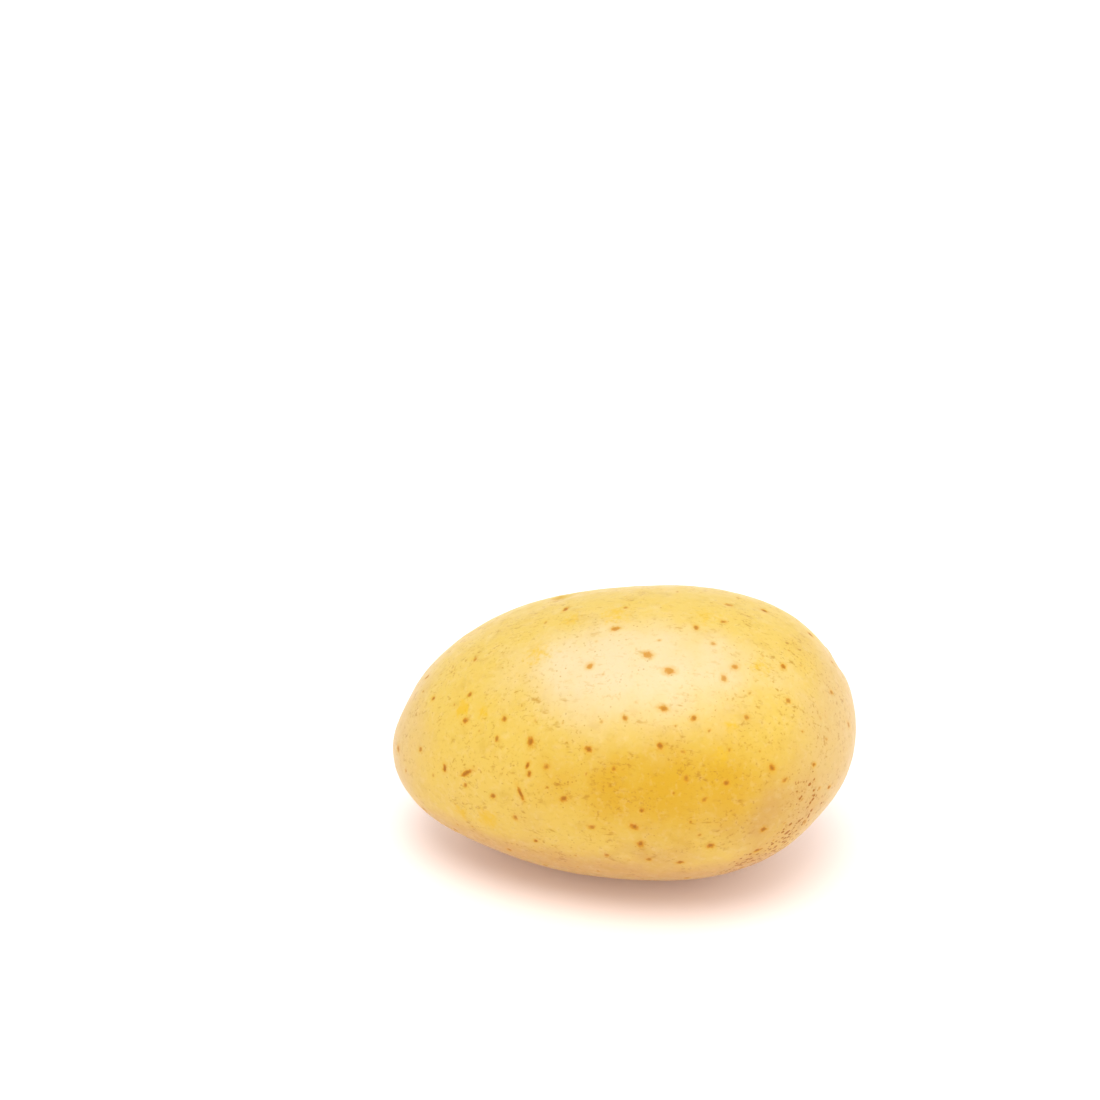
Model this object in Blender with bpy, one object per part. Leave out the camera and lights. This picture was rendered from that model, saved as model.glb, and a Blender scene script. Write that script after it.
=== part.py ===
"""A small yellow table potato, whole and washed, lying on a small flat spot.

One tuber is one solid. Its long axis runs along X, with the blunt end at +X and the narrower
stem end at -X. It is a little wider along Y than it is tall, +Z is up, and the origin is on the
ground under the middle of its box. Lengths are in metres.

The form starts as an even ball of square faces. Every point of the ball is then placed by one
formula: two egg profiles, one seen from above and one from the side, a middle line that climbs
towards the blunt end, and a few wide swells and hollows. Last the underside is flattened where the
potato rests, and the whole is brought to its exact length, width and height.
"""

import math

import bmesh
import bpy
from mathutils import Vector

# Overall size, measured on the finished tuber.
LENGTH = 0.078
WIDTH = 0.054
HEIGHT = 0.048

# Egg profiles. BLUNT makes the +X end fatter than the -X end, and FULL fills both ends out.
PLAN_BLUNT = 0.09
PLAN_FULL = 0.12
SIDE_BLUNT = 0.11
SIDE_FULL = 0.07

# An egg lies with its narrow end low: the middle line climbs by AXIS_RISE from the middle of the
# tuber to its blunt end, which puts the lowest point below the centre of mass. Both ends droop.
AXIS_RISE = 0.0026
AXIS_DROOP = 0.0018

# Section shape across the long axis: 2 is an ellipse, and more is a rounder-cornered square.
SECTION_POWER = 2.1

# How much of the lowest point is pressed flat where the tuber rests.
REST_DEPTH = 0.0003

# Wide, low swells and hollows: where they face, their height (negative for a hollow), and their
# spread as a share of the half length.
SWELLS = {
    "belly": (Vector((0.05, 0.0, -1.0)), 0.0007, 0.34),
    "blunt_end_undercut": (Vector((0.88, -0.18, -0.44)), -0.0013, 0.26),
    "stem_end_jowl": (Vector((-0.94, -0.26, -0.22)), 0.0012, 0.30),
    "crest_hollow": (Vector((0.0, 0.55, 0.83)), -0.0007, 0.24),
    "right_shoulder": (Vector((0.58, 0.50, 0.64)), 0.0002, 0.26),
    "back_hollow": (Vector((0.30, 0.94, -0.10)), -0.0008, 0.32),
    "back_swell": (Vector((-0.50, 0.85, -0.15)), 0.0007, 0.30),
}

# Square faces along each edge of the cube that the ball is blown up from.
GRID = 26

SKIN_COLOUR = (0.87, 0.62, 0.20, 1.0)
SKIN_ROUGHNESS = 0.45


def remove_old_objects():
    """Empty the scene, so that only the tuber is built."""
    for old in list(bpy.data.objects):
        bpy.data.objects.remove(old, do_unlink=True)


def even_ball(bm):
    """Make a ball of radius 1 from a cube, with faces of nearly equal size."""
    bmesh.ops.create_cube(bm, size=2.0)
    bmesh.ops.subdivide_edges(bm, edges=bm.edges[:], cuts=GRID - 1, use_grid_fill=True)
    for vert in bm.verts:
        vert.co = Vector([math.tan(part * math.pi / 4) for part in vert.co]).normalized()


def egg(u, blunt, full):
    """Half thickness at u, from -1 at the stem end to 1 at the blunt end, as a share of 1."""
    return 1 + blunt * u + full * u * u


def egg_scale(blunt, full, steps=200):
    """The largest half thickness of an egg profile, so that its sizes can be divided by it."""
    places = [2 * step / steps - 1 for step in range(steps + 1)]
    return max(math.sqrt(1 - u * u) * egg(u, blunt, full) for u in places)


def tuber_point(ball_point, plan_scale, side_scale):
    """Move a point of the ball to its place on the tuber, without the swells."""
    u, v, w = ball_point
    ring = math.hypot(v, w)
    rounding = 1.0
    if ring > 1e-6:
        power = SECTION_POWER
        rounding = (abs(v / ring) ** power + abs(w / ring) ** power) ** (-1 / power)
    half_width = WIDTH / 2 * egg(u, PLAN_BLUNT, PLAN_FULL) / plan_scale
    half_height = HEIGHT / 2 * egg(u, SIDE_BLUNT, SIDE_FULL) / side_scale
    middle_height = AXIS_RISE * u - AXIS_DROOP * u * u
    return Vector((LENGTH / 2 * u, half_width * v * rounding, half_height * w * rounding + middle_height))


def swell_height(ball_point):
    """The height of all the swells and hollows together at a point of the ball."""
    height = 0.0
    for facing, peak, spread in SWELLS.values():
        away = (ball_point - facing.normalized()).length
        height += peak * math.exp(-(away / spread) ** 2 / 2)
    return height


def shape_tuber(bm):
    """Turn the ball into the tuber, and raise the swells along its own outward direction."""
    plan_scale = egg_scale(PLAN_BLUNT, PLAN_FULL)
    side_scale = egg_scale(SIDE_BLUNT, SIDE_FULL)
    heights = [swell_height(vert.co) for vert in bm.verts]
    for vert in bm.verts:
        vert.co = tuber_point(vert.co, plan_scale, side_scale)
    bm.normal_update()
    outward = [vert.normal.copy() for vert in bm.verts]
    for vert, height, normal in zip(bm.verts, heights, outward):
        vert.co += normal * height


def press_flat(bm):
    """Flatten the underside to one level, where the tuber rests."""
    level = min(vert.co.z for vert in bm.verts) + REST_DEPTH
    for vert in bm.verts:
        vert.co.z = max(vert.co.z, level)


def fit_to_size(bm):
    """Bring the tuber to its exact size, standing on the ground over the origin."""
    low = Vector([min(vert.co[axis] for vert in bm.verts) for axis in range(3)])
    high = Vector([max(vert.co[axis] for vert in bm.verts) for axis in range(3)])
    middle = Vector(((low.x + high.x) / 2, (low.y + high.y) / 2, low.z))
    wanted = Vector((LENGTH, WIDTH, HEIGHT))
    for vert in bm.verts:
        from_middle = vert.co - middle
        vert.co = Vector([from_middle[axis] * wanted[axis] / (high - low)[axis] for axis in range(3)])


def skin_material():
    """Plain yellow skin with a satin surface."""
    skin = bpy.data.materials.new("potato_skin")
    skin.use_nodes = True
    shader = skin.node_tree.nodes["Principled BSDF"]
    shader.inputs["Base Color"].default_value = SKIN_COLOUR
    shader.inputs["Roughness"].default_value = SKIN_ROUGHNESS
    shader.inputs["Metallic"].default_value = 0.0
    skin.diffuse_color = SKIN_COLOUR
    return skin


def build_potato(collection):
    """Build the tuber as one closed mesh object."""
    bm = bmesh.new()
    even_ball(bm)
    shape_tuber(bm)
    press_flat(bm)
    fit_to_size(bm)
    bmesh.ops.recalc_face_normals(bm, faces=bm.faces[:])
    mesh = bpy.data.meshes.new("potato")
    bm.to_mesh(mesh)
    bm.free()
    mesh.materials.append(skin_material())
    mesh.shade_smooth()
    potato = bpy.data.objects.new("potato", mesh)
    collection.objects.link(potato)
    return potato


remove_old_objects()
parts = bpy.data.collections.new("table_potato")
bpy.context.scene.collection.children.link(parts)
build_potato(parts)
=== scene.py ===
# %% [markdown]
# # A small yellow table potato
#
# One washed potato lies on a white table. It is a tuber, a thing that grew in one piece, so the
# model has one piece too. What makes it look real is its skin: satin, with a painted highlight in
# cream on its crown and painted shade in gold on its front, brown pores called lenticels, fine
# flecks, a few shallow eyes and a patch of scurf. The solid model gives its exact size and form, and
# this lesson adds the fine surface and the finish.

# %% Load the solid model
import math
from collections import namedtuple

import bpy
import numpy as np
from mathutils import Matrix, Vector
from mathutils.kdtree import KDTree


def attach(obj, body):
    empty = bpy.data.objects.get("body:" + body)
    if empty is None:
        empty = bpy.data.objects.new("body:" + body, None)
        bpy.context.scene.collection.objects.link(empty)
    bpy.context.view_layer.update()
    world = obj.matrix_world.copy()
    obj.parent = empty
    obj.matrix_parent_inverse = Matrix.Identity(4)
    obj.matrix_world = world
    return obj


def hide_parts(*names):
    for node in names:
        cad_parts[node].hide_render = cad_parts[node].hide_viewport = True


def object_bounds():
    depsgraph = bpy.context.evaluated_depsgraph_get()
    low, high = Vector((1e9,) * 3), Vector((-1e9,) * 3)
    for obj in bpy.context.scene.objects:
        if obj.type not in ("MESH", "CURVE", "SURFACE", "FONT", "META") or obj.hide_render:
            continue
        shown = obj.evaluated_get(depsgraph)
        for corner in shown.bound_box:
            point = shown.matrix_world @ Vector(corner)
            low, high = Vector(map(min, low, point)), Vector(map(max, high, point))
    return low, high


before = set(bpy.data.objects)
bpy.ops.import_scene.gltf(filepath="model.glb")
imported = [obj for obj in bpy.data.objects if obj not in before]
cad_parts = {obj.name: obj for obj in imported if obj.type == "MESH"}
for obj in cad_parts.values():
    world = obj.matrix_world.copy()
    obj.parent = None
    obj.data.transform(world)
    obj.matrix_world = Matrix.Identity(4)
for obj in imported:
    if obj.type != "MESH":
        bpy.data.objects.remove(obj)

MM = 0.001
cad_low, cad_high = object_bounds()
cad_size = cad_high - cad_low
cad_middle = (cad_low + cad_high) / 2
print("solid model, mm:", [round(side / MM, 2) for side in cad_size])

# %% [markdown]
# ## Camera
#
# The potato is seen from a little above, 30 degrees, and from just past its front towards the blunt
# end. A long lens keeps its outline calm. The camera aims past the potato, up and to the left, so
# the potato lies low in the view and a little right of its middle.

# %% Camera
# distances are in metres
VIEW_AZIMUTH = math.radians(10)
VIEW_ELEVATION = math.radians(30)
VIEW_DISTANCE = 0.5146
AIM_LEFT = 0.0126
AIM_UP = 0.0298
LENS_MM = 100
SENSOR_MM = 36

view_back = Vector((
    math.sin(VIEW_AZIMUTH) * math.cos(VIEW_ELEVATION),
    -math.cos(VIEW_AZIMUTH) * math.cos(VIEW_ELEVATION),
    math.sin(VIEW_ELEVATION),
))
view_right = Vector((0, 0, 1)).cross(view_back).normalized()
view_up = view_back.cross(view_right)
camera_place = cad_middle + view_back * VIEW_DISTANCE
aim = cad_middle - view_right * AIM_LEFT + view_up * AIM_UP
bpy.ops.object.camera_add(location=camera_place)
camera = bpy.context.object
camera.name = "camera"
camera.rotation_euler = (aim - camera_place).to_track_quat("-Z", "Y").to_euler()
camera.data.lens = LENS_MM
camera.data.sensor_width = SENSOR_MM
bpy.context.scene.camera = camera
print("camera at", [round(part, 3) for part in camera.location])

# %% [markdown]
# ## Colours
#
# Colours are written as sRGB hex values, the way a colour picker shows them. Blender's shaders want
# linear light, so one function converts them.

# %% Hex colours to linear light
def linear(hex_colour):
    """Turn "#RRGGBB" in sRGB into linear red, green, blue and an alpha of 1."""
    parts = [int(hex_colour[start:start + 2], 16) / 255 for start in (1, 3, 5)]
    return [p / 12.92 if p <= 0.04045 else ((p + 0.055) / 1.055) ** 2.4 for p in parts] + [1.0]


print("middle grey in linear light:", round(linear("#808080")[0], 3))

# %% One way to add a node
def add_node(tree, kind, inputs=None, **settings):
    """Add a node: settings are its own options, and inputs gives sockets a value or a link."""
    node = tree.nodes.new(kind)
    for option, value in settings.items():
        setattr(node, option, value)
    for socket, value in (inputs or {}).items():
        if isinstance(value, bpy.types.NodeSocket):
            tree.links.new(value, node.inputs[socket])
        else:
            node.inputs[socket].default_value = value
    return node


# %% [markdown]
# ## Table, light and air
#
# The table is a white sheet, lit until it is pure white. Like a light table it also glows by itself,
# very faintly and in a warm tint, which keeps the shadow under the potato light and rosy. A brighter
# room would lighten the shadow too, but it would flatten the potato.
#
# One wide soft light hangs over the potato, a little to the front, and a weaker one fills in from
# the right. Both are sun lamps with a very wide disc. A sun does the work of a soft box that is so
# far off that the table is equally bright all over.

# %% Table
TABLE_WIDTH = 4.0
TABLE_GLOW = 0.12

bpy.ops.object.select_all(action="DESELECT")
bpy.ops.mesh.primitive_plane_add(size=TABLE_WIDTH)
table = bpy.context.object
table.name = "table"

# uncoated white paper: quite matt, so it shows the potato's shadow and no reflection
paper = bpy.data.materials.new("white_paper")
paper.use_nodes = True
paper_shader = paper.node_tree.nodes["Principled BSDF"]
paper_shader.inputs["Base Color"].default_value = linear("#F7F0F1")
paper_shader.inputs["Roughness"].default_value = 0.9
paper_shader.inputs["Specular IOR Level"].default_value = 0.1
paper_shader.inputs["Emission Color"].default_value = linear("#FFCDB4")
paper_shader.inputs["Emission Strength"].default_value = TABLE_GLOW
table.data.materials.append(paper)
print("table:", [round(side, 2) for side in table.dimensions])

# %% Two soft lights
def add_soft_light(name, azimuth, elevation, disc, strength, colour):
    """Add a sun lamp with a wide disc; its angles are in degrees, and azimuth 0 is the front."""
    turn = math.radians(azimuth)
    rise = math.radians(elevation)
    to_light = Vector((math.sin(turn) * math.cos(rise), -math.cos(turn) * math.cos(rise), math.sin(rise)))
    bpy.ops.object.light_add(type="SUN", location=to_light)
    lamp = bpy.context.object
    lamp.name = name
    lamp.rotation_euler = to_light.to_track_quat("Z", "Y").to_euler()
    lamp.data.angle = math.radians(disc)
    lamp.data.energy = strength
    lamp.data.color = linear(colour)[:3]


add_soft_light("key_from_above", azimuth=2, elevation=69, disc=38, strength=1.68, colour="#FFFCF6")
add_soft_light("fill_from_right", azimuth=85, elevation=40, disc=70, strength=0.4, colour="#FFFFFF")

# %% White room
# the camera sees the room as pure white, and the potato is lit by it a touch less
ROOM_STRENGTH = 0.98
ROOM_SEEN = 1.0

room = bpy.data.worlds.new("white_room")
room.use_nodes = True
room.node_tree.nodes.clear()
light_path = add_node(room.node_tree, "ShaderNodeLightPath")
strength = add_node(
    room.node_tree, "ShaderNodeMapRange",
    {"Value": light_path.outputs["Is Camera Ray"], "To Min": ROOM_STRENGTH, "To Max": ROOM_SEEN},
)
air = add_node(
    room.node_tree, "ShaderNodeBackground",
    {"Color": linear("#FFFFFF"), "Strength": strength.outputs["Result"]},
)
add_node(room.node_tree, "ShaderNodeOutputWorld", {"Surface": air.outputs["Background"]})
bpy.context.scene.world = room
bpy.context.scene.view_settings.view_transform = "Standard"
print("room:", room.name)

# %% [markdown]
# ## The fine skin
#
# The solid model is a mesh of flat triangles. A copy of it is merged, its triangles are paired back
# into squares, and Subdivision Surface rounds it. The squares come out 0.4 mm wide, which is fine
# enough for swells, eyes and pores to be real relief and not only shading. Starting again from a
# sphere would work too, but a copy keeps the solid model's own form.

# %% Copy, merge and smooth the solid
SMOOTH_LEVELS = 2
MERGE_DISTANCE = 0.00001


def apply_modifier(piece, kind, **settings):
    """Add a modifier to the active piece, set it and apply it."""
    bpy.ops.object.modifier_add(type=kind)
    modifier = piece.modifiers[-1]
    for option, value in settings.items():
        setattr(modifier, option, value)
    bpy.ops.object.modifier_apply(modifier=modifier.name)


def select_only(piece):
    """Make one object the only selected and active one."""
    bpy.ops.object.select_all(action="DESELECT")
    piece.select_set(True)
    bpy.context.view_layer.objects.active = piece


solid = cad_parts["potato"]
potato = bpy.data.objects.new("potato_skin", solid.data.copy())
bpy.context.scene.collection.objects.link(potato)
select_only(potato)
bpy.ops.object.mode_set(mode="EDIT")
bpy.ops.mesh.select_all(action="SELECT")
bpy.ops.mesh.remove_doubles(threshold=MERGE_DISTANCE)
bpy.ops.mesh.tris_convert_to_quads()
bpy.ops.object.mode_set(mode="OBJECT")
sides = [len(face.vertices) for face in potato.data.polygons]
print("squares:", sides.count(4), "triangles left:", sides.count(3))
apply_modifier(potato, "SUBSURF", levels=SMOOTH_LEVELS, render_levels=SMOOTH_LEVELS)
print("fine faces:", len(potato.data.polygons))

# %% [markdown]
# ## Finding a place on the skin
#
# A place is given the way a cook would point at it: how far along the potato, in millimetres from
# its middle towards the blunt end, and how far round it, in degrees. Round 0 is the front, 90 the
# top, 180 the back and -90 the underside. The nearest point of the skin is then looked up.

# %% Skin points and places
def skin_points():
    """The skin's points and their outward directions, as two arrays."""
    count = len(potato.data.vertices)
    places = np.empty(count * 3, np.float32)
    outward = np.empty(count * 3, np.float32)
    potato.data.vertices.foreach_get("co", places)
    potato.data.vertices.foreach_get("normal", outward)
    return places.reshape(-1, 3).astype(float), outward.reshape(-1, 3).astype(float)


points, normals = skin_points()
along_mm = points[:, 0] / MM
round_angle = np.arctan2(points[:, 2] - cad_middle.z, -points[:, 1])
ring_mm = np.hypot(points[:, 1], points[:, 2] - cad_middle.z) / MM


def place(along, around):
    """The index of the skin point nearest to a place."""
    turn = round_angle - math.radians(around)
    turn = (turn + math.pi) % (2 * math.pi) - math.pi
    return int(np.argmin((along_mm - along) ** 2 + (turn * ring_mm) ** 2))


def distance_mm(index):
    """Straight distance of every skin point from one of them, in millimetres."""
    return np.linalg.norm(points - points[index], axis=1) / MM


def bell(distance, width):
    """A soft hill: 1 at its middle, falling to almost nothing at twice the width."""
    return np.exp(-(distance / width) ** 2)


BELL_ENDS = 3  # past three widths a bell isn't worth working out

print("skin points:", len(points))

# %% [markdown]
# ## Relief
#
# A tuber swells unevenly as it grows. It could be sculpted by hand, but a texture is just as uneven
# on every side. Two Displace modifiers with soft cloud textures give the slow undulation that makes
# highlights wander, and a finer dimpling. The spot that the potato rests on stays flat, so a weight
# group keeps the relief away from it.

# %% Weights that keep the resting spot flat
FREE_HEIGHT_MM = 3.0  # from this height above the table, the skin is quite free
LEAST_WEIGHT = 0.01


def weight_group(name, weights):
    """Make a vertex group from an array of weights."""
    group = potato.vertex_groups.new(name=name)
    for index in np.flatnonzero(weights > LEAST_WEIGHT):
        group.add([int(index)], float(weights[index]), "REPLACE")


free = np.clip(points[:, 2] / MM / FREE_HEIGHT_MM, 0, 1)
free_weights = free * free * (3 - 2 * free)
weight_group("free_skin", free_weights)
print("points held still:", int((free_weights <= LEAST_WEIGHT).sum()))

# %% Swells and dimples
def cloud_relief(name, size_mm, height_mm, depth):
    """Raise and lower the free skin by a cloud texture."""
    clouds = bpy.data.textures.new(name, "CLOUDS")
    clouds.noise_scale = size_mm * MM
    clouds.noise_depth = depth
    apply_modifier(
        potato, "DISPLACE", texture=clouds, texture_coords="LOCAL", mid_level=0.5,
        strength=height_mm * MM, vertex_group="free_skin",
    )


cloud_relief("slow_swells", size_mm=11.0, height_mm=0.32, depth=0)
cloud_relief("fine_dimples", size_mm=3.6, height_mm=0.11, depth=1)
moved, _ = skin_points()
print("relief, mm:", round(float(np.abs(moved - points).max()) / MM, 3))

# %% [markdown]
# ## Eyes and the stem scar
#
# Eyes are the buds of the tuber. They sit on a spiral, closer together towards the blunt end, and in
# this smooth kind each is only a shallow dimple with a low curved brow on its stem side and a tiny
# bud. The stem scar is a small corky dent at the narrow end, where the tuber hung on its runner.
#
# Each is a sum of soft bells, raised or sunk along the skin's own outward direction. That keeps
# their edges as soft as grown skin, which cut or extruded faces wouldn't be.

# %% Eyes
# along in mm, around in degrees, and size
EYES = [
    (-12, 114, 0.8), (14, 156, 1.0), (-24, 212, 0.9), (2, 232, 1.1), (25, 205, 1.0),
    (27, -104, 0.9), (34, 132, 0.8), (36, 250, 0.8), (-18, -112, 0.9), (37, 190, 0.7),
]
EYE_DIMPLE_MM = 0.7
EYE_DIMPLE_WIDTH_MM = 2.6
EYE_BROW_MM = 0.30
EYE_BROW_RADIUS_MM = 2.5
EYE_BROW_WIDTH_MM = 0.7
EYE_CREASE_WIDTH_MM = 0.45
EYE_BUD_MM = 0.30
EYE_BUD_WIDTH_MM = 0.65
EYE_BUD_SHADE = 0.7

points, normals = skin_points()
relief = np.zeros(len(points))
eye_crease = np.zeros(len(points))
for along, around, size in EYES:
    middle = place(along, around)
    reach = distance_mm(middle) / size
    near = reach < BELL_ENDS * EYE_DIMPLE_WIDTH_MM
    stem_side = -(points[:, 0] - points[middle, 0]) / MM / size
    facing = np.clip(0.5 + stem_side / EYE_BROW_RADIUS_MM, 0, 1)
    brow = bell(reach - EYE_BROW_RADIUS_MM, EYE_BROW_WIDTH_MM) * facing
    crease = bell(reach - EYE_BROW_RADIUS_MM + EYE_BROW_WIDTH_MM, EYE_CREASE_WIDTH_MM) * facing
    bud = bell(reach, EYE_BUD_WIDTH_MM)
    hill = EYE_BROW_MM * brow + EYE_BUD_MM * bud - EYE_DIMPLE_MM * bell(reach, EYE_DIMPLE_WIDTH_MM)
    relief += np.where(near, hill * size, 0)
    eye_crease = np.maximum(eye_crease, np.where(near, np.maximum(crease, EYE_BUD_SHADE * bud), 0))
print("eyes:", len(EYES))

# %% Stem scar
SCAR_ALONG = -38.5
SCAR_AROUND = 170
SCAR_RADIUS_MM = 1.2
SCAR_DEPTH_MM = 0.35
SCAR_EDGE_MM = 0.25
SCAR_DIMPLE_MM = 0.6
SCAR_DIMPLE_WIDTH_MM = 4.0
SCAR_PUCKER_MM = 0.05
SCAR_PUCKERS = 8
SCAR_PUCKER_RADIUS_MM = 2.4
SCAR_PUCKER_WIDTH_MM = 1.1

scar = place(SCAR_ALONG, SCAR_AROUND)
scar_distance = distance_mm(scar)
scar_side = np.cross((0.0, 0.0, 1.0), normals[scar])
scar_up = np.cross(normals[scar], scar_side)
from_scar = points - points[scar]
scar_angle = np.arctan2(from_scar @ scar_up, from_scar @ scar_side)
# three wide lobes and five narrow ones make the scar's edge ragged
ragged_edge = 1 + 0.16 * np.sin(3 * scar_angle + 1) + 0.1 * np.sin(5 * scar_angle)
scar_patch = 1 / (1 + np.exp((scar_distance / ragged_edge - SCAR_RADIUS_MM) / SCAR_EDGE_MM))
pucker_ring = bell(scar_distance - SCAR_PUCKER_RADIUS_MM, SCAR_PUCKER_WIDTH_MM)
puckers = np.sin(SCAR_PUCKERS * scar_angle + np.sin(3 * scar_angle)) * pucker_ring
relief += SCAR_PUCKER_MM * puckers
relief -= SCAR_DEPTH_MM * scar_patch + SCAR_DIMPLE_MM * bell(scar_distance, SCAR_DIMPLE_WIDTH_MM)
print("stem scar at, mm:", (points[scar] / MM).round(1))

# %% [markdown]
# ## Lenticels
#
# Lenticels are the pores that the tuber breathes through: corky ovals, 0.4 to 1.2 mm wide and mostly
# a little longer. The ones that catch the eye on the front are listed one by one, and the rest are
# scattered with a fixed seed, each a few millimetres from its neighbours. One place on the crown is
# kept clear of scattered ones.

# %% Lenticels listed one by one
# along in mm, around in degrees
LARGE_LENTICELS = [
    (-5, 3), (10, 26), (10, 54), (-3, 53), (0, 73), (7, -5), (28, 20), (27, -10), (19, -14), (14, -23),
    (26, -24), (-11, 22), (-1, 22), (10, 39), (6, 60), (8, -12),
]
SMALL_LENTICELS = [
    (-17, -3), (-16, 29), (-23, 27), (-31, 4), (-23, 40), (4, 34), (15, 37), (23, 40), (13, 77), (17, 85),
    (16, 70), (20, 60), (19, 54), (29, 51), (30, 14), (34, 21), (21, 14), (15, 15), (18, 8), (8, 2),
    (0, -7), (-13, -10), (9, -21), (2, -20), (-17, 21), (-30, 38), (35, 75), (-22, -3), (-10, -20),
    (-15, -33), (-8, 14), (3, 16),
]
# the same, then radius in mm, stretch and turn in degrees
LONG_LENTICELS = [
    (-22, 3, 0.42, 3.4, 40), (-12, 1, 0.38, 3.4, 118), (-26, 1, 0.45, 1.7, 95), (-11, 13, 0.34, 1.9, 75),
    (-11, 10, 0.40, 1.5, 90), (-10, 92, 0.45, 1.9, 0),
]
LARGE_RADIUS_MM = (0.48, 0.62)
SMALL_RADIUS_MM = (0.38, 0.50)
MOST_STRETCH = 1.45
SEED = 12

Lenticel = namedtuple("Lenticel", "point radius stretch turn strength")
luck = np.random.default_rng(SEED)
lenticels = [
    Lenticel(place(along, around), radius, stretch, turn, 1.0)
    for along, around, radius, stretch, turn in LONG_LENTICELS
]


def add_lenticel(point, radius_range, strength_range):
    """Add one lenticel at a skin point, with its size, stretch, turn and strength left to luck."""
    radius = luck.uniform(*radius_range)
    stretch = luck.uniform(1.0, MOST_STRETCH)
    turn = luck.uniform(0, 180)
    lenticels.append(Lenticel(point, radius, stretch, turn, luck.uniform(*strength_range)))


for along, around in LARGE_LENTICELS:
    add_lenticel(place(along, around), LARGE_RADIUS_MM, (0.9, 1.0))
for along, around in SMALL_LENTICELS:
    add_lenticel(place(along, around), SMALL_RADIUS_MM, (0.6, 0.9))
print("placed by hand:", len(lenticels))

# %% Scattered lenticels
CLEAR_PLACE = (-10, 54)
CLEAR_RADIUS_MM = 5.5

kept_clear = distance_mm(place(*CLEAR_PLACE)) < CLEAR_RADIUS_MM


def scatter(wanted, spacing_mm, radius_range, strength_range):
    """Add lenticels at random skin points that keep their distance from the ones before."""
    for point in luck.permutation(len(points)):
        if wanted == 0:
            break
        if kept_clear[point]:
            continue
        taken = points[[lenticel.point for lenticel in lenticels]]
        if np.linalg.norm(taken - points[point], axis=1).min() > spacing_mm * MM:
            add_lenticel(int(point), radius_range, strength_range)
            wanted -= 1


scatter(70, spacing_mm=6.0, radius_range=(0.36, 0.62), strength_range=(0.6, 1.0))
scatter(150, spacing_mm=2.8, radius_range=(0.18, 0.32), strength_range=(0.2, 0.6))
print("lenticels:", len(lenticels))

# %% [markdown]
# Each face of the skin learns where it lies as seen from its nearest lenticel: how far along it and
# how far across it, counted in the lenticel's own radius. The numbers sit on the corners of the
# face, so they run straight across it, and the finish can draw a crisp oval however coarse the mesh
# is. Painting the ovals on the points would leave them as blurred as the mesh.

# %% Write the lenticels on the faces
FAR = 9.0
REACH_IN_RADII = 5

nearest_lenticel = KDTree(len(lenticels))
for number, lenticel in enumerate(lenticels):
    nearest_lenticel.insert(points[lenticel.point], number)
nearest_lenticel.balance()

corner_count = len(potato.data.loops)
corner_points = np.empty(corner_count, np.int32)
potato.data.loops.foreach_get("vertex_index", corner_points)
pore = np.zeros((corner_count, 3))
pore[:, 0] = FAR
for face in potato.data.polygons:
    _, number, away = nearest_lenticel.find(face.center)
    lenticel = lenticels[number]
    if away > REACH_IN_RADII * lenticel.radius * lenticel.stretch * MM:
        continue
    out = normals[lenticel.point]
    side = np.cross((0.0, 0.0, 1.0), out)
    side /= np.linalg.norm(side)
    up = np.cross(out, side)
    angle = math.radians(lenticel.turn)
    long_way = side * math.cos(angle) + up * math.sin(angle)
    short_way = np.cross(out, long_way)
    corners = list(face.loop_indices)
    step = (points[corner_points[corners]] - points[lenticel.point]) / (lenticel.radius * MM)
    pore[corners, 0] = step @ long_way / lenticel.stretch
    pore[corners, 1] = step @ short_way
    pore[corners, 2] = lenticel.strength

pore_map = potato.data.attributes.new("pore", "FLOAT_VECTOR", "CORNER")
pore_map.data.foreach_set("vector", pore.astype(np.float32).ravel())
print("faces near a lenticel:", int((pore[:, 0] < FAR).sum() / 4))

# %% Relief of the lenticels, eyes and scar
PORE_DEPTH_MM = 0.07

for lenticel in lenticels:
    reach = distance_mm(lenticel.point)
    near = np.flatnonzero(reach < BELL_ENDS * lenticel.radius)
    relief[near] -= PORE_DEPTH_MM * lenticel.strength * bell(reach[near], lenticel.radius)
shaped = points + normals * (relief * MM)[:, None]
print("deepest and highest relief, mm:", relief.min().round(2), relief.max().round(2))

# %% [markdown]
# The relief has moved the skin off the solid model's box by a fraction of a millimetre. So the
# finished skin is scaled back into it, and the resting spot is pressed level with the table again.
# The potato that is seen then has just the size of the solid one that is weighed and simulated.

# %% Fit the skin into the box
REST_PRESS_MM = 0.15


def fit_to_box(places):
    """Scale and move points so that their box is the solid model's box."""
    low, high = places.min(axis=0), places.max(axis=0)
    return (places - low) / (high - low) * np.array(cad_size) + np.array(cad_low)


fitted = fit_to_box(shaped)
fitted[:, 2] = np.maximum(fitted[:, 2], REST_PRESS_MM * MM)
fitted = fit_to_box(fitted)
potato.data.vertices.foreach_set("co", fitted.astype(np.float32).ravel())
potato.data.update()
points, normals = skin_points()
print("skin box, mm:", ((points.max(axis=0) - points.min(axis=0)) / MM).round(3))

# %% [markdown]
# ## Where the skin changes
#
# Some changes of colour have a place on the tuber, and are painted as weights on the skin's points:
# a painted highlight in cream on the front of its crown, painted shade in gold across its front and
# in tan low on its front, paler cream, golden and tan places elsewhere, rubbed places, the brown of
# the eyes and the scar, and the patch of scurf near the blunt end, low on the front. They are wide
# and soft, so the points are close enough together to hold them.

# %% Painted weights
def paint(name, values):
    """Store one number for each skin point, for the finish to read."""
    layer = potato.data.attributes.new(name, "FLOAT", "POINT")
    layer.data.foreach_set("value", np.clip(values, 0, 1).astype(np.float32))


def patches(spots):
    """Soft round patches: along, around, width in mm and strength of each."""
    total = np.zeros(len(points))
    for along, around, width, amount in spots:
        total = np.maximum(total, amount * bell(distance_mm(place(along, around)), width))
    return total


# partly painted highlight: the cream patches on the front of the crown stand in for the highlight there,
# and the others are paler skin
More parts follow.
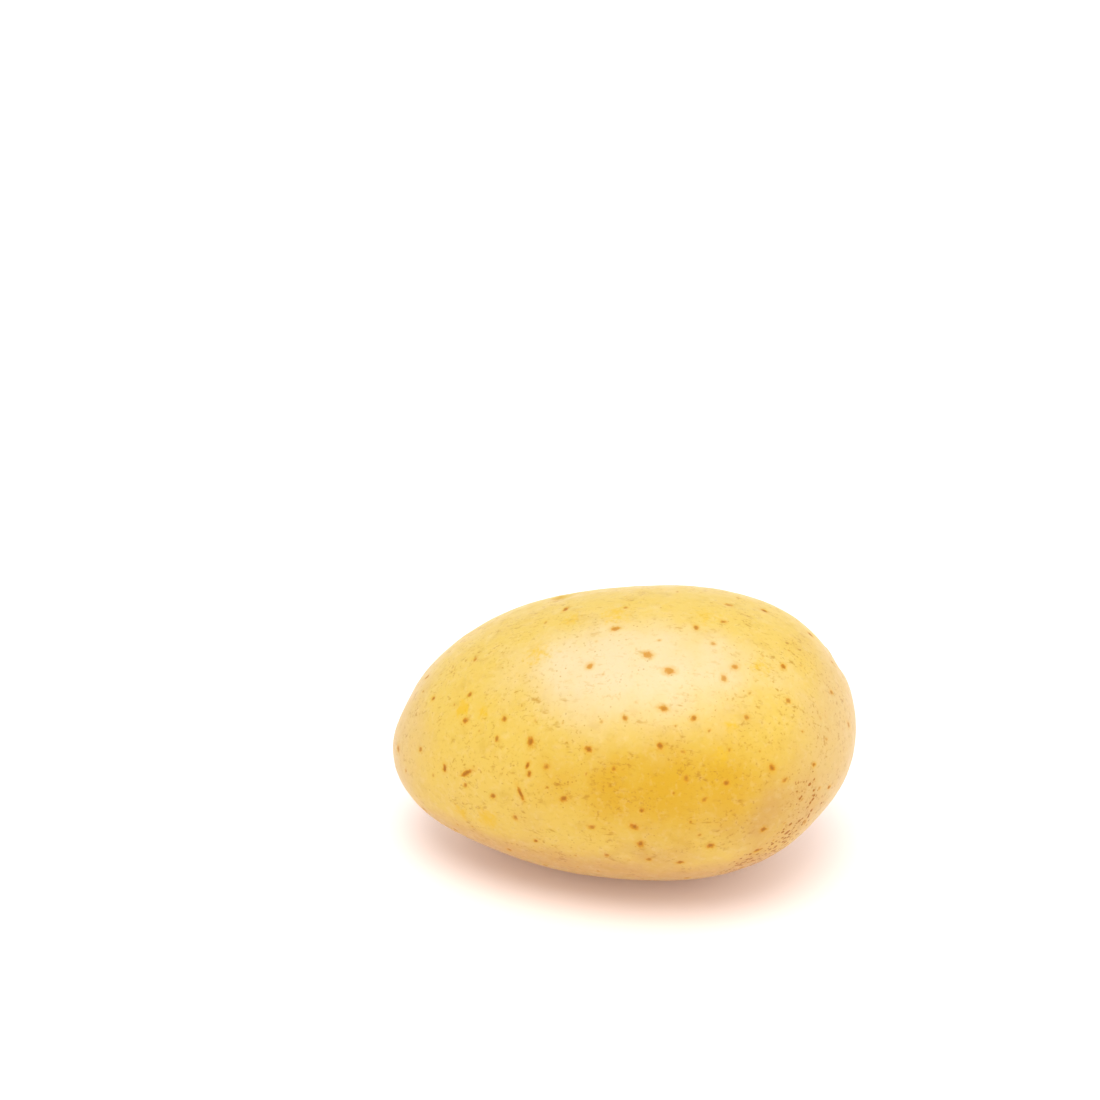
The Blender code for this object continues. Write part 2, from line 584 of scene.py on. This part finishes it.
paint("cream_and_highlight", patches([
    (-14, 54, 9, 0.5), (-6, 53, 10, 0.9), (0, 54, 12, 1.0), (8, 55, 12, 0.95), (16, 57, 11, 0.75),
    (25, 62, 9, 0.45), (-6, 150, 15, 0.3), (22, 215, 12, 0.3), (-26, 230, 10, 0.3), (6, -85, 14, 0.4),
]))
# partly painted shade: the gold patches across the front stand in for the shade where the light turns
# away, and the ones at the back are golden skin
paint("gold_and_shade", patches([
    (-5, 9, 8, 0.6), (4, 9, 9, 0.9), (12, 10, 10, 1.0), (20, 13, 9, 0.9), (26, 20, 7, 0.5),
    (22, 34, 6, 0.4), (-18, 186, 15, 0.5), (14, 176, 14, 0.45), (30, 145, 9, 0.4), (-4, 250, 12, 0.5),
    (30, 95, 7, 0.35),
]))
# partly painted shade: the tan patches low on the front stand in for the shade there, and the two at the
# back are tan skin
paint("tan", patches([
    (28, -4, 11, 0.6), (12, -22, 10, 0.6), (24, -28, 9, 0.4), (-12, -22, 12, 0.25), (24, 200, 12, 0.35),
    (-28, 160, 10, 0.35),
]))
print("wide patches:", [layer.name for layer in potato.data.attributes if layer.data_type == "FLOAT"])

# %% Painted marks
CORKY_RING = 0.3
CORKY_RING_MM = 2.2

paint("rub", patches([
    (-24, 32, 1.5, 1.0), (-20, 31, 1.5, 0.6), (-23, -19, 1.7, 0.7), (-18, -16, 2.4, 0.7),
    (24, 64, 2.2, 0.5), (21, 35, 1.2, 0.6), (-1, 83, 3.0, 0.55), (-8, 81, 2.0, 0.6), (14, 87, 3.0, 0.45),
    (-12, 60, 3.0, 0.45), (20, 24, 1.8, 0.6), (-6, 190, 3.0, 0.5), (20, 240, 3.5, 0.5),
    (30, 150, 2.5, 0.45), (-30, 200, 3.0, 0.45), (6, 140, 3.5, 0.45),
]))
paint("scurf", patches([
    (25, -33, 4, 1.0), (28, -31, 4, 1.0), (31, -24, 4, 1.0), (34, -10, 4, 0.7), (33, 6, 5, 0.45),
    (30, 14, 4, 0.35), (24, -48, 7, 0.8), (12, -66, 7, 0.5), (-22, -70, 7, 0.5), (34, 200, 5, 0.6),
]))
paint("corky", np.maximum(scar_patch, CORKY_RING * bell(scar_distance, CORKY_RING_MM)))
paint("eye_crease", eye_crease)
print("all painted:", [layer.name for layer in potato.data.attributes if layer.data_type == "FLOAT"])

# %% [markdown]
# ## Finish: washed yellow potato skin
#
# Potato skin is a thin layer of cork cells over pale yellow flesh. Washed and dry it is satin, not
# shiny, and light goes a little way in and comes out warmer. An image of skin could be wrapped round
# it, but a finish built from noise has no seam and stays sharp. Its colour is laid on in coats, from
# wide to fine, and each coat has a mask that says where it goes. The first are the mottled yellow,
# with painted shade in tan on the underside, then the gold, partly painted shade on the front, and
# the cream, partly a painted highlight on the crown.

# %% Start the material
# washed potato skin: satin, yellow and slightly see-through, so it looks soft and never plastic
skin = bpy.data.materials.new("washed_potato_skin")
skin.use_nodes = True
tree = skin.node_tree
tree.nodes.clear()
spot = add_node(tree, "ShaderNodeTexCoord").outputs["Object"]
painted = {
    name: add_node(tree, "ShaderNodeAttribute", attribute_name=name).outputs["Fac"]
    for name in ("cream_and_highlight", "gold_and_shade", "tan", "rub", "scurf", "corky", "eye_crease")
}
print("material:", skin.name, "reads", list(painted))

# %% Cloudy masks, and coats of colour
def cloudy(size_mm, start, end, low=0.0, high=1.0, detail=2.0, roughness=0.5, distortion=0.0, where=spot):
    """A mask from noise of about size_mm, which goes softly from low at start to high at end."""
    noise = add_node(
        tree, "ShaderNodeTexNoise",
        {"Vector": where, "Scale": 1 / (size_mm * MM), "Detail": detail, "Roughness": roughness,
         "Distortion": distortion},
    )
    return add_node(
        tree, "ShaderNodeMapRange",
        {"Value": noise.outputs["Fac"], "From Min": start, "From Max": end, "To Min": low,
         "To Max": high},
        interpolation_type="SMOOTHSTEP",
    ).outputs["Result"]


def clouded(mask, size_mm, amount, start, end):
    """Break up the edge of a mask with noise, and soften it between two values."""
    noise = add_node(
        tree, "ShaderNodeTexNoise",
        {"Vector": spot, "Scale": 1 / (size_mm * MM), "Detail": 3.0, "Roughness": 0.55},
    )
    centred = add_node(
        tree, "ShaderNodeMath", {0: noise.outputs["Fac"], 1: 0.5}, operation="SUBTRACT",
    )
    pushed = add_node(
        tree, "ShaderNodeMath", {0: centred.outputs["Value"], 1: amount, 2: mask},
        operation="MULTIPLY_ADD",
    )
    return add_node(
        tree, "ShaderNodeMapRange",
        {"Value": pushed.outputs["Value"], "From Min": start, "From Max": end},
        interpolation_type="SMOOTHSTEP",
    ).outputs["Result"]


def lay_on(under, coat, mask, share=1.0):
    """Lay a coat of colour over what is there, where its mask says so and as strong as its share."""
    thinned = add_node(tree, "ShaderNodeMath", {0: mask, 1: share}, operation="MULTIPLY")
    return add_node(
        tree, "ShaderNodeMix", {0: thinned.outputs["Value"], 6: under, 7: coat}, data_type="RGBA",
    ).outputs[2]


# %% Yellow ground, with painted shade in tan below, and paler at the tips
YELLOW = linear("#CFB04D")
TAN_AND_SHADE = linear("#BE954A")
UNDERSIDE_SHADE_FROM_MM, UNDERSIDE_SHADE_TO_MM = 20, 7
TAN_AND_SHADE_CLOUD_MM = 9
DEEP = linear("#BA932C")
DEEP_CLOUD_MM = 3.4
PALE = linear("#DECB98")
PALE_CLOUD_MM = 2.6
TIP = linear("#C7A86C")
TIP_FROM_MM, TIP_TO_MM = 24, 39
TIP_CLOUD_MM = 6

spot_parts = add_node(tree, "ShaderNodeSeparateXYZ", {"Vector": spot})
# painted shade: the skin turns tan towards the table, standing in for the shade on the underside
underside_shade = add_node(
    tree, "ShaderNodeMapRange",
    {"Value": spot_parts.outputs["Z"], "From Min": UNDERSIDE_SHADE_FROM_MM * MM, "From Max": UNDERSIDE_SHADE_TO_MM * MM},
    interpolation_type="SMOOTHSTEP",
)
tan_place = add_node(
    tree, "ShaderNodeMath", {0: underside_shade.outputs["Result"], 1: painted["tan"]}, operation="MAXIMUM",
)
from_middle = add_node(tree, "ShaderNodeMath", {0: spot_parts.outputs["X"]}, operation="ABSOLUTE")
tips = add_node(
    tree, "ShaderNodeMapRange",
    {"Value": from_middle.outputs["Value"], "From Min": TIP_FROM_MM * MM, "From Max": TIP_TO_MM * MM},
    interpolation_type="SMOOTHSTEP",
)
tan_mask = clouded(tan_place.outputs["Value"], TAN_AND_SHADE_CLOUD_MM, amount=1.0, start=0.1, end=0.9)
deep_mask = cloudy(DEEP_CLOUD_MM, 0.5, 0.8, detail=3, roughness=0.6, distortion=0.3)
pale_mask = cloudy(PALE_CLOUD_MM, 0.52, 0.8, detail=3, roughness=0.6)
tip_mask = clouded(tips.outputs["Result"], TIP_CLOUD_MM, amount=0.7, start=0.1, end=1.0)
colour = lay_on(YELLOW, TAN_AND_SHADE, tan_mask)
colour = lay_on(colour, DEEP, deep_mask, share=0.5)
colour = lay_on(colour, PALE, pale_mask, share=0.25)
colour = lay_on(colour, TIP, tip_mask, share=0.75)
print("nodes so far:", len(tree.nodes))

# %% Gold with painted shade on the front, and cream with a painted highlight on the crown
GOLD_AND_SHADE = linear("#C59A17")
GOLD_AND_SHADE_CLOUD_MM = 5
CREAM_AND_HIGHLIGHT = linear("#D4C096")
CREAM_AND_HIGHLIGHT_CLOUD_MM = 6

# painted shade in gold on the front and a painted highlight in cream on the crown, where the patches say
# so; elsewhere they are the skin's own gold and cream
gold_and_shade_mask = clouded(painted["gold_and_shade"], GOLD_AND_SHADE_CLOUD_MM, amount=0.45, start=0.1, end=1.0)
cream_and_highlight_mask = clouded(painted["cream_and_highlight"], CREAM_AND_HIGHLIGHT_CLOUD_MM, amount=0.5, start=0.1, end=1.05)
colour = lay_on(colour, GOLD_AND_SHADE, gold_and_shade_mask)
colour = lay_on(colour, CREAM_AND_HIGHLIGHT, cream_and_highlight_mask)
print("nodes so far:", len(tree.nodes))

# %% [markdown]
# ## Finish: flecks, scurf and rubs
#
# Over the ground colour lie the marks of growing and washing: fine net-like flecks, tiny pores, the
# grains of scurf and smudges of rubbed skin. They could be painted one by one, but there are
# thousands, so each kind is noise or a pattern of cells, cut off at a level. What is painted on the
# points then says where that kind is thick and where it is thin.

# %% Where the flecks are
# fine net-like flecks, where the skin stretched as it grew: on a real tuber they are about 0.05 mm
# wide, and they are drawn about four times as wide so that they show
FLECK_MM = 0.9
FLECK_STRETCH = (0.5, 1.0, 1.0)
ROUND_FLECK_MM = 0.65
FLECK_REGION_MM = 5

along_tuber = add_node(tree, "ShaderNodeMapping", {"Vector": spot, "Scale": FLECK_STRETCH})
long_flecks = cloudy(
    FLECK_MM, 0.56, 0.76, roughness=0.6, distortion=0.3, where=along_tuber.outputs["Vector"],
)
round_flecks = cloudy(ROUND_FLECK_MM, 0.55, 0.74, high=0.85, roughness=0.6)
all_flecks = add_node(tree, "ShaderNodeMath", {0: long_flecks, 1: round_flecks}, operation="MAXIMUM")
# fewer flecks under the painted highlight on the crown, as if the light washed them out
fewer_on_cream_and_highlight = add_node(
    tree, "ShaderNodeMapRange",
    {"Value": painted["cream_and_highlight"], "From Min": 0.2, "From Max": 1.0, "To Min": 1.0, "To Max": 0.5},
    interpolation_type="SMOOTHSTEP",
)
fleck_mask = all_flecks.outputs["Value"]
for thinner in (cloudy(FLECK_REGION_MM, 0.38, 0.64, 0.2, 0.8), fewer_on_cream_and_highlight.outputs["Result"]):
    fleck_mask = add_node(
        tree, "ShaderNodeMath", {0: fleck_mask, 1: thinner}, operation="MULTIPLY",
    ).outputs["Value"]
print("nodes so far:", len(tree.nodes))

# %% Lay on the flecks, light ones first
# the darker flecks multiply the skin's colour, so that they suit it wherever they lie
LIGHT_FLECK_MM = 1.1
FLECK = linear("#D6B85C")

colour = lay_on(colour, PALE, cloudy(LIGHT_FLECK_MM, 0.5, 0.75), share=0.12)
colour = add_node(
    tree, "ShaderNodeMix", {0: fleck_mask, 6: colour, 7: FLECK}, data_type="RGBA",
    blend_type="MULTIPLY",
).outputs[2]
print("nodes so far:", len(tree.nodes))

# %% Specks
# tiny round pores, 0.2 to 0.4 mm across, in loose groups
SPECK = linear("#A3711C")
SPECK_CELL_MM = 1.0
SPECK_REGION_MM = 4

speck_cells = add_node(
    tree, "ShaderNodeTexVoronoi", {"Vector": spot, "Scale": 1 / (SPECK_CELL_MM * MM)},
)
speck_dots = add_node(
    tree, "ShaderNodeMapRange",
    {"Value": speck_cells.outputs["Distance"], "From Min": 0.2, "From Max": 0.1},
    interpolation_type="SMOOTHSTEP",
)
speck_region = cloudy(SPECK_REGION_MM, 0.48, 0.62, high=0.5)
colour = lay_on(colour, SPECK, speck_dots.outputs["Result"], share=speck_region)
print("nodes so far:", len(tree.nodes))

# %% Where the scurf is
# scurf is a harmless blemish: corky brown grains, 0.3 to 0.8 mm wide, that thin out at its edge
SCURF_CLOUD_MM = 2.0
SCURF_CELL_MM = 0.85
SCURF_GRAIN_SIZE = 0.5
SCURF_GRAIN_EDGE = 0.2
SCURF_WEAR_MM = 0.9
WARP_MM = 1.2
WARP_PUSH_MM = 0.7

# the grains are cells pushed about by noise, so that they lose their regular look
push = add_node(tree, "ShaderNodeTexNoise", {"Vector": spot, "Scale": 1 / (WARP_MM * MM), "Detail": 2.0})
centred_push = add_node(
    tree, "ShaderNodeVectorMath", {0: push.outputs["Color"], 1: (0.5, 0.5, 0.5)}, operation="SUBTRACT",
)
pushed_spot = add_node(
    tree, "ShaderNodeVectorMath",
    {0: centred_push.outputs["Vector"], 1: (WARP_PUSH_MM * MM,) * 3, 2: spot},
    operation="MULTIPLY_ADD",
)
scurf_cells = add_node(
    tree, "ShaderNodeTexVoronoi",
    {"Vector": pushed_spot.outputs["Vector"], "Scale": 1 / (SCURF_CELL_MM * MM)},
)
scurf_region = clouded(painted["scurf"], SCURF_CLOUD_MM, amount=0.7, start=0.1, end=0.6)
scurf_reach = add_node(
    tree, "ShaderNodeMath", {0: scurf_region, 1: -SCURF_GRAIN_SIZE, 2: scurf_cells.outputs["Distance"]},
    operation="MULTIPLY_ADD",
)
scurf_grains = add_node(
    tree, "ShaderNodeMapRange",
    {"Value": scurf_reach.outputs["Value"], "From Min": 0.0, "From Max": -SCURF_GRAIN_EDGE},
    interpolation_type="SMOOTHSTEP",
)
scurf_wear = cloudy(SCURF_WEAR_MM, 0.3, 0.5, low=0.1)
scurf_mask = add_node(
    tree, "ShaderNodeMath", {0: scurf_grains.outputs["Result"], 1: scurf_wear}, operation="MULTIPLY",
).outputs["Value"]
print("nodes so far:", len(tree.nodes))

# %% Lay on the scurf and the rubs
# rubs are lemon and ochre smudges, where the thin skin was rubbed in washing
SCURF_GROUND = linear("#BE8E3C")
SCURF = linear("#9A5E06")
RUB = linear("#D0A812")
RUB_CLOUD_MM = 0.9

colour = lay_on(colour, SCURF_GROUND, scurf_region, share=0.3)
colour = lay_on(colour, SCURF, scurf_mask, share=0.95)
rub_mask = clouded(painted["rub"], RUB_CLOUD_MM, amount=1.3, start=0.15, end=0.8)
colour = lay_on(colour, RUB, rub_mask, share=0.8)
print("nodes so far:", len(tree.nodes))

# %% [markdown]
# ## Finish: lenticels, eyes and scar
#
# A lenticel is a plug of loose cork with a golden rim. Its place is already stored on the faces, so
# three coats are laid on by how far a spot is from its middle: the rim, the cork and a darker middle.
# The eyes and the scar are wide enough to be read from the points.

# %% How far a spot is from its lenticel
# counted in the lenticel's own radius, with a push of noise that makes the oval a little uneven
EDGE_SIZE_MM = 0.55
EDGE_PUSH = 1.1

pore_place = add_node(tree, "ShaderNodeAttribute", attribute_name="pore")
pore_parts = add_node(tree, "ShaderNodeSeparateXYZ", {"Vector": pore_place.outputs["Vector"]})
flat_place = add_node(
    tree, "ShaderNodeCombineXYZ", {"X": pore_parts.outputs["X"], "Y": pore_parts.outputs["Y"]},
)
even_reach = add_node(
    tree, "ShaderNodeVectorMath", {0: flat_place.outputs["Vector"]}, operation="LENGTH",
)
edge = add_node(
    tree, "ShaderNodeTexNoise", {"Vector": spot, "Scale": 1 / (EDGE_SIZE_MM * MM), "Detail": 2.0},
)
centred_edge = add_node(
    tree, "ShaderNodeMath", {0: edge.outputs["Fac"], 1: 0.5}, operation="SUBTRACT",
)
pore_reach = add_node(
    tree, "ShaderNodeMath",
    {0: centred_edge.outputs["Value"], 1: EDGE_PUSH, 2: even_reach.outputs["Value"]},
    operation="MULTIPLY_ADD",
)
print("nodes so far:", len(tree.nodes))

# %% Lay on the lenticels
# corky brown with a golden rim and a darker middle, and lighter under the painted highlight on the
# crown: for each coat, its colour, the reach where it starts and where it is full, and its share off
# and on the cream and painted highlight
PORE_COATS = {
    "rim": (linear("#C99818"), 2.3, 0.9, 0.45, 0.45),
    "core": (linear("#BC7E08"), 1.25, 0.6, 0.95, 0.8),
    "middle": (linear("#885000"), 0.85, 0.2, 0.65, 0.1),
}

pore_masks = {}
for name, (coat, starts, full, share, cream_and_highlight_share) in PORE_COATS.items():
    inside = add_node(
        tree, "ShaderNodeMapRange",
        {"Value": pore_reach.outputs["Value"], "From Min": starts, "From Max": full},
        interpolation_type="SMOOTHSTEP",
    )
    pore_masks[name] = add_node(
        tree, "ShaderNodeMath", {0: inside.outputs["Result"], 1: pore_parts.outputs["Z"]},
        operation="MULTIPLY",
    ).outputs["Value"]
    coat_share = add_node(
        tree, "ShaderNodeMapRange",
        {"Value": painted["cream_and_highlight"], "From Min": 0.2, "From Max": 1.0, "To Min": share,
         "To Max": cream_and_highlight_share},
        interpolation_type="SMOOTHSTEP",
    )
    colour = lay_on(colour, coat, pore_masks[name], share=coat_share.outputs["Result"])
print("nodes so far:", len(tree.nodes))

# %% Eyes and scar
CREASE = linear("#B9812F")
CORK = linear("#A0661C")
CORK_GRAIN_MM = 0.7

colour = lay_on(colour, CREASE, painted["eye_crease"], share=0.55)
cork_grain = cloudy(CORK_GRAIN_MM, 0.3, 0.6, low=0.6, detail=3, roughness=0.7)
cork_mask = add_node(
    tree, "ShaderNodeMath", {0: painted["corky"], 1: cork_grain}, operation="MULTIPLY",
).outputs["Value"]
colour = lay_on(colour, CORK, cork_mask, share=0.9)
print("nodes so far:", len(tree.nodes))

# %% [markdown]
# ## Finish: gloss and fine relief
#
# The cells of the skin are far smaller than the squares of the mesh. More squares could hold them,
# but relief of a hundredth of a millimetre never shows in the outline, so a bump is enough. Three
# bumps follow each other: the grain of the cells, the faint net that growth leaves, and the pits.

# %% Gloss
# clean skin is satin, while the corky marks are dull
SATIN_LOW = 0.37
SATIN_HIGH = 0.48
DULL = 0.7
GLOSS_CLOUD_MM = 2.4

dull_mask = pore_masks["core"]
for corky_mask in (scurf_mask, cork_mask):
    dull_mask = add_node(
        tree, "ShaderNodeMath", {0: dull_mask, 1: corky_mask}, operation="MAXIMUM",
    ).outputs["Value"]
satin = cloudy(GLOSS_CLOUD_MM, 0.3, 0.7, SATIN_LOW, SATIN_HIGH, detail=3, roughness=0.6)
gloss = add_node(tree, "ShaderNodeMix", {0: dull_mask, 2: satin, 3: DULL}, data_type="FLOAT").outputs[0]
print("nodes so far:", len(tree.nodes))

# %% Grain and net
# skin cells are about 0.05 mm wide, and their grain is drawn several times as coarse so that it shows
GRAIN_MM = 0.35
GRAIN_HEIGHT_MM = 0.012
NET_MM = 1.3
NET_HEIGHT_MM = 0.02

grain_noise = add_node(
    tree, "ShaderNodeTexNoise",
    {"Vector": spot, "Scale": 1 / (GRAIN_MM * MM), "Detail": 3.0, "Roughness": 0.6},
)
grain = add_node(
    tree, "ShaderNodeBump",
    {"Height": grain_noise.outputs["Fac"], "Distance": GRAIN_HEIGHT_MM * MM, "Strength": 1.0},
)
net_noise = add_node(
    tree, "ShaderNodeTexNoise", {"Vector": spot, "Scale": 1 / (NET_MM * MM), "Detail": 2.0},
)
net = add_node(
    tree, "ShaderNodeBump",
    {"Height": net_noise.outputs["Fac"], "Distance": NET_HEIGHT_MM * MM, "Strength": 1.0,
     "Normal": grain.outputs["Normal"]},
)
print("nodes so far:", len(tree.nodes))

# %% Pits
# lenticels and scurf are sunk a little, with an edge that is finer than the mesh can hold
PIT_DEPTH_MM = 0.04
SCURF_PIT_SHARE = 0.7

scurf_pits = add_node(
    tree, "ShaderNodeMath", {0: scurf_mask, 1: SCURF_PIT_SHARE}, operation="MULTIPLY",
)
pit_mask = add_node(
    tree, "ShaderNodeMath", {0: pore_masks["core"], 1: scurf_pits.outputs["Value"]}, operation="MAXIMUM",
)
pits = add_node(
    tree, "ShaderNodeBump",
    {"Height": pit_mask.outputs["Value"], "Distance": PIT_DEPTH_MM * MM, "Strength": 1.0,
     "Normal": net.outputs["Normal"]},
    invert=True,
)
print("nodes so far:", len(tree.nodes))

# %% The shader itself
# cork and flesh bend light like most plants do, by 1.42, and of the light that goes in, red comes out
# furthest away and blue nearest
SKIN_IOR = 1.42
SKIN_SHINE = 0.35
BLOOM = 0.12
BLOOM_ROUGHNESS = 0.4
INNER_LIGHT = 0.3
INNER_DEPTH_MM = 1.5
INNER_REACH = (1.0, 0.5, 0.2)

shader = add_node(
    tree, "ShaderNodeBsdfPrincipled",
    {"Base Color": colour, "Roughness": gloss, "Normal": pits.outputs["Normal"], "IOR": SKIN_IOR,
     "Specular IOR Level": SKIN_SHINE, "Sheen Weight": BLOOM, "Sheen Roughness": BLOOM_ROUGHNESS,
     "Subsurface Weight": INNER_LIGHT, "Subsurface Radius": INNER_REACH,
     "Subsurface Scale": INNER_DEPTH_MM * MM},
)
add_node(tree, "ShaderNodeOutputMaterial", {"Surface": shader.outputs["BSDF"]})
print("nodes in all:", len(tree.nodes))

# %% [markdown]
# ## Hand it over
#
# The skin stands for the solid potato, moves with its one body, and must have kept its box.

# %% Dress the potato and hand it over
potato.data.materials.clear()
potato.data.materials.append(skin)
potato.vertex_groups.clear()
select_only(potato)
bpy.ops.object.shade_smooth()
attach(potato, "root")
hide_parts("potato")
print("handed over:", potato.name)
